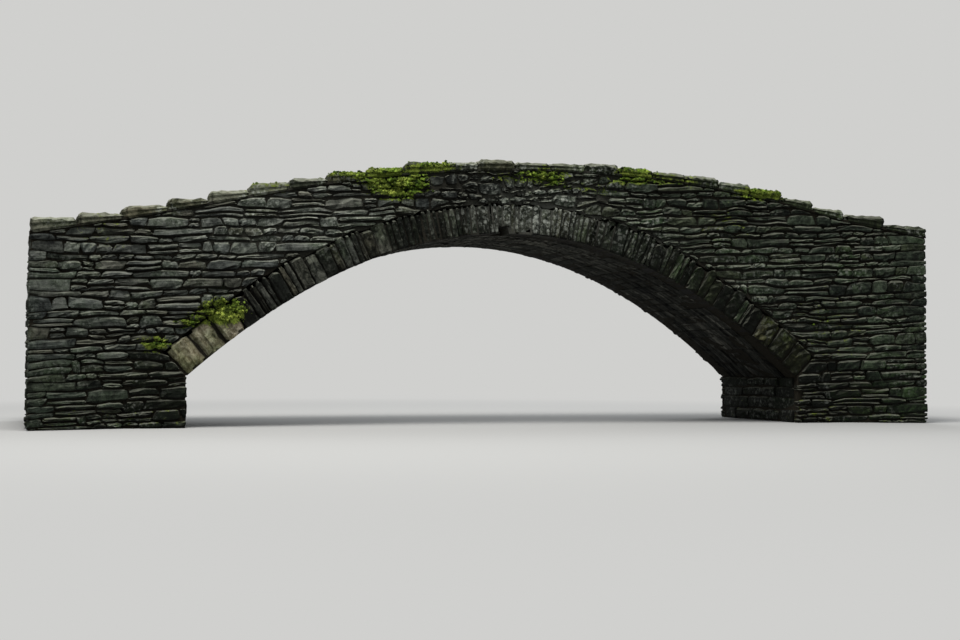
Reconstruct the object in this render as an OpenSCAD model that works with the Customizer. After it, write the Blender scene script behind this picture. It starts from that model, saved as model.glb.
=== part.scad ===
// Humped stone arch bridge over a stream, all sizes in millimetres.
// X runs along the bridge, Y across it (upstream is +Y) and Z is up.
// The origin lies on the ground, under the middle of the arch.

/* [Arch] */
// Clear span between the abutments at the springing line
span = 10000; // [8000:100:12500]
// Rise of the soffit above the springing line
rise = 2230; // [1800:10:2700]
// Depth of the arch, from soffit to back
ring_depth = 480; // [400:10:600]
// How far single ring stones stand over or under that depth
ring_step = 35; // [0:5:60]
// Ring stones between the springer blocks, an odd number so that one closes the crown
voussoirs = 49; // [39:2:59]
// Large springer blocks at each foot of a ring
springers = 3; // [2:1:4]
// Horizontal run of those springer blocks
springer_run = 850; // [600:10:1200]

/* [Walls] */
// Width of the bridge from face to face
width = 2700; // [2300:50:4200]
// Thickness of the face rings, spandrels, parapets and wings
wall_t = 380; // [300:10:500]
// Height of the springing line above the ground
springing_h = 750; // [500:50:1500]
// Face of the abutment beyond the springing, up to where a wing turns out
shoulder = 900; // [600:50:1500]
// Reach of a wing beyond its shoulder, measured along the bridge
wing_run = 1300; // [900:50:2400]
// Angle by which the wings flare outwards
flare = 20; // [0:1:30]

/* [Roadway] */
// Stone and gravel over the back of the arch at its crown
cover = 170; // [140:10:320]
// Thickness of the gravel running surface
road_t = 80; // [50:5:110]
// Distance from the middle of the arch to the crest of the hump
crest_x = 950; // [0:50:1200]
// Radius of the hump
hump_r = 20400; // [16000:200:30000]
// Half length of the round hump, beyond which the road ramps down straight
hump_half = 4500; // [3500:100:4800]

/* [Parapet] */
// Height of the parapet masonry above the road
parapet_h = 370; // [300:10:900]
// Mean thickness of the coping slabs
coping_t = 150; // [100:5:180]
// How far single slabs are thicker or thinner
coping_step = 20; // [0:1:30]
// Overhang of the coping on each side of the wall
coping_lip = 25; // [0:5:60]
// Coping slabs between the two shoulders, an even number
coping_slabs = 20; // [16:2:32]
// Coping slabs on each wing
wing_slabs = 2; // [2:1:5]
// How level the slabs lie on a slope: 0 follows it, 1 lies flat as a stair
coping_level = 0.75; // [0:0.05:0.9]

/* [Joints] */
// Width of an open joint on the face of a ring, and between coping slabs
joint = 12; // [10:1:20]
// Width of a ring's joints along the soffit
soffit_joint = 8; // [4:1:9]
// Depth to which the ring joints are raked out
rake = 20; // [10:1:35]
// Thickness left under the joints of the coping
bed = 40; // [25:1:60]

/* [Hidden] */
half_w = width / 2;
inner_w = half_w - wall_t;
half_span = span / 2;
wing_x = half_span + shoulder;
half_len = wing_x + wing_run;
crown_z = springing_h + rise + ring_depth + cover;
sky = crown_z + parapet_h + 4 * coping_t;
beyond = 100;
LEFT = -1;
RIGHT = 1;
DOWNSTREAM = -1;
UPSTREAM = 1;

// The soffit is a parabola through the two springings and the crown.
function soffit_z(x) = springing_h + rise * (1 - pow(x / half_span, 2));
function soffit_slope(x) = -2 * rise * x / pow(half_span, 2);
function across(x) = [-soffit_slope(x), 1] / sqrt(1 + pow(soffit_slope(x), 2));
function along(x) = [1, soffit_slope(x)] / sqrt(1 + pow(soffit_slope(x), 2));
// A point of the arch over x, at a depth measured square to the soffit
function arch_point(x, depth) = [x, soffit_z(x)] + depth * across(x);

// Stations of the ring's radial joints, from the left springing to the right one
stone_run = (span - 2 * springer_run) / voussoirs;
last_joint = voussoirs + 2 * springers;
function joint_x(i) =
    i <= springers ? -half_span + i * springer_run / springers
    : i >= last_joint - springers ? half_span - (last_joint - i) * springer_run / springers
    : -half_span + springer_run + (i - springers) * stone_run;
crown_stone = (last_joint - 1) / 2;
crown_run = ceil(voussoirs / 6);
crown_from = crown_stone - crown_run;
crown_to = crown_stone + crown_run + 1;

// Uneven backs of the ring stones: the springers keep the plain depth, so that they seat on the skewback
function unevenness(i, side) = sin(i * i * 67 + i * 113 + side * 40);
function stone_depth(i, side) =
    i < springers || i >= last_joint - springers || i == crown_stone ? ring_depth
    : ring_depth + ring_step * unevenness(i, side);

// The road: a round hump between two straight ramps
function hump_drop(run) =
    run <= hump_half ? run * run / (2 * hump_r)
    : hump_half * hump_half / (2 * hump_r) + (run - hump_half) * hump_half / hump_r;
function smooth_road_z(x) = crown_z - hump_drop(abs(x - crest_x));

// Stations of the coping joints, which road, parapets and coping share
mid_slab = 2 * wing_x / coping_slabs;
wing_slab = wing_run / wing_slabs;
last_station = coping_slabs + 2 * wing_slabs;
function station_x(j) =
    j <= wing_slabs ? -half_len + j * wing_slab
    : j >= last_station - wing_slabs ? half_len - (last_station - j) * wing_slab
    : -wing_x + (j - wing_slabs) * mid_slab;
middle_station = last_station / 2;
road_table = [for (j = [0 : last_station]) [station_x(j), smooth_road_z(station_x(j))]];
function road_z(x) = lookup(x, road_table);
// Stations of one half or one wing, in order from left to right
function wing_stations(end) = end == LEFT ? [0 : wing_slabs] : [last_station - wing_slabs : last_station];
function half_stations(end) =
    end == LEFT ? [wing_slabs : middle_station] : [middle_station : last_station - wing_slabs];

// Plan of the walls: inset is measured square to the outer face, inwards
function turn_x(inset) = wing_x + inset * tan(flare / 2);
function wing_y(inset) = half_w + wing_run * tan(flare) - inset / cos(flare);
function wing_plan(end, side, outer, inner) = [
    [end * turn_x(outer), side * (half_w - outer)],
    [end * half_len, side * wing_y(outer)],
    [end * half_len, side * wing_y(inner)],
    [end * turn_x(inner), side * (half_w - inner)]
];
function half_plan(end, side, outer, inner) = [
    [0, side * (half_w - outer)],
    [end * turn_x(outer), side * (half_w - outer)],
    [end * turn_x(inner), side * (half_w - inner)],
    [0, side * (half_w - inner)]
];
// Plan of what lies between the walls, on one half
function core_plan(end) = [
    [0, -inner_w],
    [end * turn_x(wall_t), -inner_w],
    [end * half_len, -wing_y(wall_t)],
    [end * half_len, wing_y(wall_t)],
    [end * turn_x(wall_t), inner_w],
    [0, inner_w]
];

// Skewback: the sloping seat that the abutment gives the arch
skew = arch_point(-half_span, ring_depth);
shelf_z = skew[1];

// Elevation outlines, as lists of [x, z]
function line_over(stations, lift) = [for (j = stations) [station_x(j), road_z(station_x(j)) + lift]];
function reversed(points) = [for (i = [len(points) - 1 : -1 : 0]) points[i]];
function ring_back(from, to, side) = [
    for (i = [from : to - 1], k = [0, 1]) arch_point(joint_x(i + k), stone_depth(i, side))
];
function barrel_back(from, to) = [for (i = [from : to]) arch_point(joint_x(i), ring_depth)];
function soffit_line(from, to) = [for (i = [from : to]) arch_point(joint_x(i), 0)];
// Over the crown stone, where the two halves of the spandrels and the fill meet
crown_back = [0, arch_point(joint_x(crown_stone), ring_depth)[1]];

// An elevation outline drawn through the whole width, then trimmed to a plan
module trimmed(outline, plan) {
    intersection() {
        rotate([90, 0, 0])
            translate([0, 0, -half_len])
                linear_extrude(2 * half_len)
                    polygon(outline);
        linear_extrude(sky)
            polygon(plan);
    }
}

// An elevation outline between two distances across the bridge
module slice(outline, from_y, to_y) {
    translate([0, to_y, 0])
        rotate([90, 0, 0])
            linear_extrude(to_y - from_y)
                polygon(outline);
}

// Mass of masonry under one foot of the arch, with the skewback cut into its front
module abutment(end) {
    color("dimgray")
        trimmed(
            [
                [end * half_len, 0],
                [end * half_span, 0],
                [end * half_span, springing_h],
                [-end * skew[0], shelf_z],
                [end * half_len, shelf_z]
            ],
            [
                [end * half_span, -half_w],
                [end * turn_x(0), -half_w],
                [end * turn_x(wall_t), -inner_w],
                [end * half_len, -wing_y(wall_t)],
                [end * half_len, wing_y(wall_t)],
                [end * turn_x(wall_t), inner_w],
                [end * turn_x(0), half_w],
                [end * half_span, half_w]
            ]
        );
}

// Outline of a slot along a radial joint, from below the soffit up to a depth
function joint_outline(x, wide, depth) =
    let (shift = along(x) * wide / 2)
    [
        arch_point(x, -beyond) - shift,
        arch_point(x, -beyond) + shift,
        arch_point(x, depth) + shift,
        arch_point(x, depth) - shift
    ];

// Raked joint of a ring: a slot over the whole face and a narrower one along the soffit
module raked_joint(x, side) {
    face = [side * (half_w + beyond), side * (half_w - rake)];
    under = [side * (half_w + beyond), side * (inner_w - beyond)];
    slice(joint_outline(x, joint, ring_depth + beyond), min(face), max(face));
    slice(joint_outline(x, soffit_joint, rake), min(under), max(under));
}

// Vault between the two face rings, from one ring joint to another, raked along the soffit
module barrel(from, to) {
    color("dimgray")
        difference() {
            slice(concat(soffit_line(from, to), reversed(barrel_back(from, to))), -inner_w, inner_w);
            for (i = [from : to])
                slice(joint_outline(joint_x(i), soffit_joint, rake), -half_w, half_w);
        }
}

// Part of a face ring: stones with radial joints and uneven backs
module ring(from, to, side) {
    color("gray")
        difference() {
            slice(
                concat(soffit_line(from, to), reversed(ring_back(from, to, side))),
                min(side * half_w, side * inner_w),
                max(side * half_w, side * inner_w)
            );
            for (i = [from : to])
                raked_joint(joint_x(i), side);
        }
}

// Face wall between the back of the ring and the road
module spandrel(end, side) {
    back = end == LEFT ? ring_back(0, crown_stone, side) : ring_back(crown_stone + 1, last_joint, side);
    key = arch_point(joint_x(end == LEFT ? crown_stone : crown_stone + 1), ring_depth);
    shelf = [end * turn_x(wall_t), shelf_z];
    bottom = end == LEFT ? concat([shelf], back, [key, crown_back]) : concat([crown_back, key], back, [shelf]);
    far = [end * turn_x(wall_t), road_z(end * turn_x(wall_t))];
    top = end == LEFT
        ? concat([far], line_over(half_stations(end), 0))
        : concat(line_over(half_stations(end), 0), [far]);
    color("dimgray")
        trimmed(concat(bottom, reversed(top)), half_plan(end, side, 0, wall_t));
}

// Wall over the road, up to the bed of the coping
module parapet(end, side) {
    x = end * turn_x(wall_t);
    foot = [[x, road_z(x)]];
    head = [[x, road_z(x) + parapet_h]];
    low = line_over(half_stations(end), 0);
    high = line_over(half_stations(end), parapet_h);
    color("dimgray")
        trimmed(
            end == LEFT
                ? concat(foot, low, reversed(high), head)
                : concat(low, foot, head, reversed(high)),
            half_plan(end, side, 0, wall_t)
        );
}

// Wall that flares out from the shoulder, from the ground up to the bed of the coping
module wing(end, side) {
    x = end * turn_x(0);
    top = line_over(wing_stations(end), parapet_h);
    color("dimgray")
        trimmed(
            concat([[top[0][0], 0]], top, [[top[len(top) - 1][0], 0]]),
            wing_plan(end, side, 0, wall_t)
        );
}

// Level of one end of a slab's top
function slab_top(j, at) =
    let (
        middle = (road_z(station_x(j)) + road_z(station_x(j + 1))) / 2,
        slope_part = (road_z(station_x(at)) - middle) * (1 - coping_level)
    )
    middle + slope_part + parapet_h + coping_t + coping_step * unevenness(j, 2);

// Run of coping slabs on one bed, from one station to another, with open joints at the stations in cuts
module coping_run(first, last, cuts, plan) {
    under = line_over([first : last], parapet_h);
    over = [for (j = [first : last - 1], k = [0, 1]) [station_x(j + k), slab_top(j, j + k)]];
    color("darkgray")
        difference() {
            trimmed(concat(under, reversed(over)), plan);
            for (j = cuts)
                slice(
                    [
                        [station_x(j) - joint / 2, road_z(station_x(j)) + parapet_h + bed],
                        [station_x(j) + joint / 2, road_z(station_x(j)) + parapet_h + bed],
                        [station_x(j) + joint / 2, sky],
                        [station_x(j) - joint / 2, sky]
                    ],
                    -half_len,
                    half_len
                );
        }
}

// Coping of one half of a parapet, up to the mitre at the turn of its wing
module coping(end, side) {
    plan = half_plan(end, side, -coping_lip, wall_t + coping_lip);
    turn = last_station - wing_slabs;
    if (end == LEFT)
        coping_run(wing_slabs, middle_station, [wing_slabs + 1 : middle_station], plan);
    else
        coping_run(middle_station, turn, [middle_station : turn - 1], plan);
}

// Coping of one wing
module wing_coping(end, side) {
    first = end == LEFT ? 0 : last_station - wing_slabs;
    last = first + wing_slabs;
    plan = wing_plan(end, side, -coping_lip, wall_t + coping_lip);
    coping_run(first, last, [first + 1 : last - 1], plan);
}

// Rubble filling over one half of the arch, between the walls
module fill(end) {
    key = arch_point(joint_x(end == LEFT ? crown_stone : crown_stone + 1), ring_depth);
    back = end == LEFT
        ? concat([[-half_len, shelf_z]], barrel_back(0, crown_stone), [crown_back])
        : concat([crown_back], barrel_back(crown_stone + 1, last_joint), [[half_len, shelf_z]]);
    all_stations = end == LEFT ? [0 : middle_station] : [middle_station : last_station];
    color("saddlebrown")
        trimmed(concat(back, reversed(line_over(all_stations, -road_t))), core_plan(end));
}

// Gravel surface, humped and spreading between the wings
module roadway() {
    all = [0 : last_station];
    outline = concat(line_over(all, -road_t), reversed(line_over(all, 0)));
    color("tan")
        trimmed(outline, concat(core_plan(LEFT), reversed(core_plan(RIGHT))));
}

abutment(LEFT);  // left_abutment
abutment(RIGHT);  // right_abutment
barrel(0, springers);  // left_barrel_springing
barrel(springers, crown_from);  // left_barrel_haunch
barrel(crown_from, crown_to);  // barrel_crown
barrel(crown_to, last_joint - springers);  // right_barrel_haunch
barrel(last_joint - springers, last_joint);  // right_barrel_springing

ring(0, springers, DOWNSTREAM);  // downstream_left_springers
ring(springers, crown_from, DOWNSTREAM);  // downstream_left_ring
ring(crown_from, crown_to, DOWNSTREAM);  // downstream_crown_ring
ring(crown_to, last_joint - springers, DOWNSTREAM);  // downstream_right_ring
ring(last_joint - springers, last_joint, DOWNSTREAM);  // downstream_right_springers
ring(0, springers, UPSTREAM);  // upstream_left_springers
ring(springers, crown_from, UPSTREAM);  // upstream_left_ring
ring(crown_from, crown_to, UPSTREAM);  // upstream_crown_ring
ring(crown_to, last_joint - springers, UPSTREAM);  // upstream_right_ring
ring(last_joint - springers, last_joint, UPSTREAM);  // upstream_right_springers

spandrel(LEFT, DOWNSTREAM);  // downstream_left_spandrel
spandrel(RIGHT, DOWNSTREAM);  // downstream_right_spandrel
spandrel(LEFT, UPSTREAM);  // upstream_left_spandrel
spandrel(RIGHT, UPSTREAM);  // upstream_right_spandrel

parapet(LEFT, DOWNSTREAM);  // downstream_left_parapet
parapet(RIGHT, DOWNSTREAM);  // downstream_right_parapet
parapet(LEFT, UPSTREAM);  // upstream_left_parapet
parapet(RIGHT, UPSTREAM);  // upstream_right_parapet

coping(LEFT, DOWNSTREAM);  // downstream_left_coping
coping(RIGHT, DOWNSTREAM);  // downstream_right_coping
coping(LEFT, UPSTREAM);  // upstream_left_coping
coping(RIGHT, UPSTREAM);  // upstream_right_coping

wing(LEFT, DOWNSTREAM);  // downstream_left_wing
wing(RIGHT, DOWNSTREAM);  // downstream_right_wing
wing(LEFT, UPSTREAM);  // upstream_left_wing
wing(RIGHT, UPSTREAM);  // upstream_right_wing

wing_coping(LEFT, DOWNSTREAM);  // downstream_left_wing_coping
wing_coping(RIGHT, DOWNSTREAM);  // downstream_right_wing_coping
wing_coping(LEFT, UPSTREAM);  // upstream_left_wing_coping
wing_coping(RIGHT, UPSTREAM);  // upstream_right_wing_coping

fill(LEFT);  // left_fill
fill(RIGHT);  // right_fill
roadway();
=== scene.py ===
"""Looks of a humped stone arch bridge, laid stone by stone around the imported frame.

Metres throughout. X runs along the bridge, Y across it with upstream at +Y, and Z is up. The origin
lies on the ground under the middle of the arch. Every face of the masonry is laid out in its own
coordinates: s along the face to the right, t up it, and d into the wall.
"""

import math
import zlib
from dataclasses import dataclass
from functools import partial

import bpy
import numpy as np
from mathutils import Matrix, Vector


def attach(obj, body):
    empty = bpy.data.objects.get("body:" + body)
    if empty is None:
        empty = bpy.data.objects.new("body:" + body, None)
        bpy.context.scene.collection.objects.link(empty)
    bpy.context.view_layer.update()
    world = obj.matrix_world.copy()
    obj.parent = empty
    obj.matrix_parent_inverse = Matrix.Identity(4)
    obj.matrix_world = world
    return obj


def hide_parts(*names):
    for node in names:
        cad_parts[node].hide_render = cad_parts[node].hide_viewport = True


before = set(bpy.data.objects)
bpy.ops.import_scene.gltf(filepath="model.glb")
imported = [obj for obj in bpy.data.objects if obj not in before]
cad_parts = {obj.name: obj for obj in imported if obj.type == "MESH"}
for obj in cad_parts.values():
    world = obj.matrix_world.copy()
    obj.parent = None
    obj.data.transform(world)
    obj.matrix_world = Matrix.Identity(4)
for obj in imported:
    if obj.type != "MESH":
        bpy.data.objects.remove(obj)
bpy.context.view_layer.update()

# Arch
SPAN = 10.0
RISE = 2.23
SPRINGING_Z = 0.75
RING_DEPTH = 0.48
RING_STEP = 0.035
VOUSSOIRS = 49
SPRINGERS = 3
SPRINGER_RUN = 0.85

# Walls
WIDTH = 2.7
WALL = 0.38
SHOULDER = 0.9
WING_RUN = 1.3
FLARE = math.radians(20)

# Road, parapet and coping
COVER = 0.17
GRAVEL = 0.08
CREST_X = 0.95
HUMP_R = 20.4
HUMP_HALF = 4.5
PARAPET_H = 0.37
COPING_T = 0.15
COPING_STEP = 0.02
COPING_LIP = 0.025
COPING_SLABS = 20
WING_SLABS = 2
COPING_LEVEL = 0.75

HALF_SPAN = SPAN / 2
HALF_W = WIDTH / 2
INNER_W = HALF_W - WALL
WING_X = HALF_SPAN + SHOULDER
HALF_LEN = WING_X + WING_RUN
CROWN_Z = SPRINGING_Z + RISE + RING_DEPTH + COVER
DOWNSTREAM, UPSTREAM = -1, 1
SIDES = {"downstream": DOWNSTREAM, "upstream": UPSTREAM}
ENDS = {"left": -1, "right": 1}

# How far stones reach into a wall, and how far the mortar lies behind their faces: plainly, behind
# the crown of the ring, and at a corner that is seen from two sides
STONE_D = 0.14
MORTAR_D = 0.05
CROWN_MORTAR_D = 0.034
CORNER_MORTAR_D = 0.025
# How far stones keep under the coping, mortar keeps from its neighbours along the arch, and mortar
# lies over the soffit
SLIT = 0.004
OVER_SOFFIT = 0.005


def dice(name):
    """Random numbers that stay the same for one name, whatever else is drawn"""
    return np.random.default_rng(zlib.crc32(name.encode()))


def points_at(x, y, z):
    """Points from their three coordinates, any of which may be a single number"""
    return np.stack(np.broadcast_arrays(x, y, z), -1)


def smooth(value, low, high):
    """0 below low, 1 above high and a smooth S between them"""
    t = np.clip((value - low) / (high - low), 0, 1)
    return t * t * (3 - 2 * t)


# Shape of the arch


def arch_point(x, depth):
    """X and Z over station x: the parabola of the soffit, moved by depth along its normal"""
    slope = -2 * RISE * x / HALF_SPAN**2
    stretch = np.sqrt(1 + slope**2)
    soffit = SPRINGING_Z + RISE * (1 - (x / HALF_SPAN) ** 2)
    return x - depth * slope / stretch, soffit + depth / stretch


def skewback_z(x):
    """Level of the slope under the springers, which rises from the springing to the shelf"""
    slope = (SHELF_Z - SPRINGING_Z) / (SKEW_X - HALF_SPAN)
    return SPRINGING_Z + (np.abs(x) - HALF_SPAN) * slope


def place_arch(x, depth, y):
    """Points of the arch at station x, depth over the soffit and y across the bridge"""
    px, pz = arch_point(x, depth)
    return points_at(px, y, pz)


RING_X = np.concatenate([
    np.linspace(-HALF_SPAN, -HALF_SPAN + SPRINGER_RUN, SPRINGERS + 1)[:-1],
    np.linspace(-HALF_SPAN + SPRINGER_RUN, HALF_SPAN - SPRINGER_RUN, VOUSSOIRS + 1),
    np.linspace(HALF_SPAN - SPRINGER_RUN, HALF_SPAN, SPRINGERS + 1)[1:],
])
RING_STONES = len(RING_X) - 1
CROWN_STONE = (RING_STONES - 1) // 2
CROWN_FROM = CROWN_STONE - math.ceil(VOUSSOIRS / 6)
CROWN_TO = CROWN_STONE + math.ceil(VOUSSOIRS / 6) + 1
SKEW_X, SHELF_Z = (float(v) for v in arch_point(HALF_SPAN, RING_DEPTH))

# The arch in five stretches from left to right: their first ring stones, and the words of their nodes
STRETCH_FROM = (0, SPRINGERS, CROWN_FROM, CROWN_TO, RING_STONES - SPRINGERS, RING_STONES)
RING_WORDS = ("left_springers", "left_ring", "crown_ring", "right_ring", "right_springers")
BARREL_NODES = (
    "left_barrel_springing", "left_barrel_haunch", "barrel_crown", "right_barrel_haunch",
    "right_barrel_springing",
)


def unevenness(i, side):
    """A fixed uneven value from -1 to 1 for piece i of one side: the sine of a quadratic in i"""
    return np.sin(np.radians(i * i * 67 + i * 113 + side * 40))


def ring_stone_depth(i, side):
    """Depth of ring stone i: the plain depth for springers and crown stone, uneven for the rest"""
    plain = (i < SPRINGERS) | (i >= RING_STONES - SPRINGERS) | (i == CROWN_STONE)
    return RING_DEPTH + np.where(plain, 0, RING_STEP * unevenness(i, side))


def mortar_x(first, last):
    """Stations along the mortar behind ring stones first to last, four to a stone"""
    return np.linspace(RING_X[first] + SLIT, RING_X[last] - SLIT, 4 * (last - first) + 1)


def ring_back_line(side):
    """X and Z along the uneven back of the ring, three points to a stone and 2 mm clear of it"""
    i = np.repeat(np.arange(RING_STONES), 3)
    share = np.tile([0.02, 0.5, 0.98], RING_STONES)
    x = RING_X[i] + share * (RING_X[i + 1] - RING_X[i])
    px, pz = arch_point(x, ring_stone_depth(i, side) + 0.002)
    order = np.argsort(px)
    return px[order], pz[order]


def over_arch(x, line):
    """Level at x of a line along the back of the arch, and of the shelf beyond the arch"""
    return np.where(np.abs(x) < SKEW_X, np.interp(x, *line), SHELF_Z)


# Line of the road and of the coping

SLAB_X = np.concatenate([
    np.linspace(-HALF_LEN, -WING_X, WING_SLABS + 1)[:-1],
    np.linspace(-WING_X, WING_X, COPING_SLABS + 1),
    np.linspace(WING_X, HALF_LEN, WING_SLABS + 1)[1:],
])
SLABS = len(SLAB_X) - 1
# Fall of the road from its crest: a parabola, and beyond it the straight slope at its end
RUN = np.abs(SLAB_X - CREST_X)
HUMP = np.where(
    RUN <= HUMP_HALF,
    RUN**2 / (2 * HUMP_R),
    HUMP_HALF**2 / (2 * HUMP_R) + (RUN - HUMP_HALF) * HUMP_HALF / HUMP_R,
)
ROAD_Z = CROWN_Z - HUMP


def road_z(x):
    """Level of the road: straight from one coping joint to the next, as the frame has it"""
    return np.interp(x, SLAB_X, ROAD_Z)


def coping_bed_z(x):
    """Underside of the coping, which the parapet carries"""
    return road_z(x) + PARAPET_H


def slab_tops():
    """Levels of the left and of the right end of every slab's top: partly level, so that the slabs
    step down a slope"""
    middle = (ROAD_Z[:-1] + ROAD_Z[1:]) / 2
    lift = PARAPET_H + COPING_T + COPING_STEP * unevenness(np.arange(SLABS), 2)
    return [middle + (end - middle) * (1 - COPING_LEVEL) + lift for end in (ROAD_Z[:-1], ROAD_Z[1:])]


# Plan of the walls


def turn_x(inset):
    """Where a wall turns outwards, for a line at that inset from its outer face"""
    return WING_X + inset * math.tan(FLARE / 2)


def wing_y(inset):
    """Distance from the middle line to the end of a wing, for a line at that inset"""
    return HALF_W + WING_RUN * math.tan(FLARE) - inset / math.cos(FLARE)


def wall_line(inset):
    """Plan points of a wall from left to right, on the upstream side"""
    x = np.array([-HALF_LEN, -turn_x(inset), -HALF_SPAN, HALF_SPAN, turn_x(inset), HALF_LEN])
    y = np.array([wing_y(inset)] + [HALF_W - inset] * 4 + [wing_y(inset)])
    return np.stack([x, y], -1)


WING_LEN = WING_RUN / math.cos(FLARE)
END_S = WING_X + WING_LEN


def along(x):
    """Distance along a wall's outer face for a place x on the bridge"""
    away = np.abs(x)
    return np.sign(x) * (np.minimum(away, WING_X) + np.maximum(away - WING_X, 0) / math.cos(FLARE))


def node_over(side_name, x, middle, wing="wing"):
    """Node at x on one side, named by the word middle between the wings and by wing beyond. An
    abutment reaches across the bridge, so its name has only its end."""
    end_name = "left" if x < 0 else "right"
    word = wing if abs(x) > WING_X else middle
    return f"{end_name}_abutment" if word == "abutment" else f"{side_name}_{end_name}_{word}"


class Face:
    """An upright face over a line in plan, with a second line behind it. At s both lines are walked
    the same share of their length, and d mixes them: 0 on the face, thickness on the line behind."""

    def __init__(self, near, far, thickness=WALL):
        self.near = np.asarray(near, float)
        self.far = np.asarray(far, float)
        self.thickness = thickness
        steps = np.hypot(*np.diff(self.near, axis=0).T)
        self.s = np.concatenate([[0], np.cumsum(steps)]) - steps.sum() / 2

    def plan(self, s, d):
        """Plan point at s, moved d into the wall"""
        share = d / self.thickness
        return [
            np.interp(s, self.s, self.near[:, axis]) * (1 - share)
            + np.interp(s, self.s, self.far[:, axis]) * share
            for axis in (0, 1)
        ]

    def place(self, s, t, d):
        """Points at s, level t and d into the wall"""
        return points_at(*self.plan(s, d), t)

    def x(self, s):
        """X of the face at s"""
        return self.plan(s, 0)[0]


def outer_face(side):
    """Outer face of one side, seen from its own side, so it runs to +X downstream and -X upstream"""
    near, far = wall_line(0) * [1, side], wall_line(WALL) * [1, side]
    return Face(near, far) if side == DOWNSTREAM else Face(near[::-1], far[::-1])


def inner_face(side, short):
    """Inner face of one side's wall, seen from the road, ending short of the ends of the bridge"""
    near, far = wall_line(WALL), wall_line(0)
    for line in (near, far):
        for end, turn in ((0, 1), (-1, -2)):
            line[end] += (line[turn] - line[end]) * short / WING_LEN
    near, far = near * [1, side], far * [1, side]
    return Face(near, far) if side == UPSTREAM else Face(near[::-1], far[::-1])


def flat_face(x, outward, half, thickness=WALL):
    """Face across the bridge at x, looking along outward, from -half to half"""
    near = np.array([[x, -half], [x, half]]) * [1, outward]
    return Face(near, near - [outward * thickness, 0], thickness)


# Gathering of one node's faces


def new_object(name, data):
    """An object at the origin, linked to the scene"""
    item = bpy.data.objects.new(name, data)
    bpy.context.scene.collection.objects.link(item)
    return item


class Part:
    """Collects the points, faces and point values of one piece. Of the values, tone and kind are
    random for each stone, bed is the distance across its bedding, rim is the painted shade and
    dirt on its edges, bare is 1 where the weather reaches it, and the rest are its weathering,
    in which the damp and the soot carry painted shadow too."""

    VALUES = ("tone", "kind", "bed", "rim", "bare", "moss", "damp", "soot", "lichen")

    def __init__(self):
        self.points = []
        self.faces = []
        self.slots = []
        self.values = {name: [] for name in self.VALUES}
        self.count = 0

    def add(self, points, faces, slot, **values):
        """Adds one mesh. faces is a list of index arrays, each with its own number of corners"""
        self.points.append(points)
        for block in faces:
            self.faces += (block + self.count).tolist()
            self.slots += [slot] * len(block)
        for name in self.VALUES:
            given = values.get(name, 0.0)
            self.values[name].append(np.broadcast_to(given, len(points)).astype(np.float32))
        self.count += len(points)

    def mesh(self, name, materials):
        """One mesh of all that was added, with its values as attributes on its points"""
        data = bpy.data.meshes.new(name)
        data.from_pydata(np.concatenate(self.points), [], self.faces)
        for material in materials:
            data.materials.append(material)
        data.polygons.foreach_set("material_index", np.array(self.slots, np.int32))
        for value in self.VALUES:
            layer = data.attributes.new(value, "FLOAT", "POINT")
            layer.data.foreach_set("value", np.concatenate(self.values[value]))
        data.update()
        return new_object(name, data)


parts = {name: Part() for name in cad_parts}
STONES, MORTAR = 0, 1


def tube(part, rings, slot=MORTAR, **values):
    """A closed body from rings of points, each ring one cross-section: its sides join ring to ring,
    and a flat face closes each end. A ring goes up its near side, over, and down its far side."""
    stations, corners = rings.shape[:2]
    index = np.arange(stations * corners).reshape(stations, corners)
    ahead = np.roll(index, -1, axis=1)
    sides = np.stack([index[:-1], index[1:], ahead[1:], ahead[:-1]], -1).reshape(-1, 4)
    caps = [index[:1], index[-1:, ::-1]]
    part.add(rings.reshape(-1, 3), [sides, *caps], slot, **values)


def fill_between(part, place, near, far, low, high):
    """Mortar and hearting: a tube with four corners to a ring, between the levels low and high and
    the depths near and far, for which place(level, depth) gives the points. It weathers like the
    stones in front of it."""
    corners = ((low, near), (high, near), (high, far), (low, far))
    rings = np.stack([place(level, depth) for level, depth in corners], 1)
    tube(part, rings, **weather(rings.reshape(-1, 3)))


def repeated(faces, many, count):
    """The faces of one body, repeated for many bodies of count points each"""
    start = (np.arange(many) * count)[:, None, None]
    return [(start + f[None]).reshape(-1, f.shape[1]) for f in faces]


# Shape of one stone


def tablet(cols, rows, loops):
    """Faces of a stone: a front of cols by rows points, its border carried back in more loops of
    points, and a flat face on the last loop. Also gives the border's own points."""
    grid = np.arange(rows * cols).reshape(rows, cols)
    front = np.stack([grid[:-1, :-1], grid[:-1, 1:], grid[1:, 1:], grid[1:, :-1]], -1).reshape(-1, 4)
    border = np.concatenate([grid[0, :-1], grid[:-1, -1], grid[-1, :0:-1], grid[:0:-1, 0]])
    ring = np.arange(len(border))
    rings = [border] + [rows * cols + len(border) * k + ring for k in range(loops)]
    bands = [np.stack([a, b, np.roll(b, -1), np.roll(a, -1)], -1) for a, b in zip(rings, rings[1:])]
    return border, [np.concatenate([front, *bands]), rings[-1][None, ::-1]]


@dataclass
class Style:
    """How the stones of one kind of work are dressed, with lengths in metres. The face of a stone
    has cols by rows points, and loops give the inset and the depth of each loop of points behind it"""

    cols: int = 7
    rows: int = 5
    loops: tuple = ((0.0, MORTAR_D + 0.005), (0.012, STONE_D))
    gap: float = 0.004
    # How unevenly faces stand out and are tilted, how far they fall to their edges, and how rough
    # they are
    proud: float = 0.016
    tilt: float = 0.06
    pillow: float = 0.014
    relief: float = 0.008
    # Width and fall of the rounded edge
    edge: float = 0.026
    round: float = 0.022
    # Loss at corners, waviness of edges, and bow of the lower and upper edge; base is the share of
    # these three at the lower edge
    chip: float = 0.055
    wobble: float = 0.007
    bow: float = 0.03
    base: float = 1.0
    # How much painted shade and dirt the lower and the upper edge get
    rims: tuple = (1.0, 1.0)


RUBBLE = Style()


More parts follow.
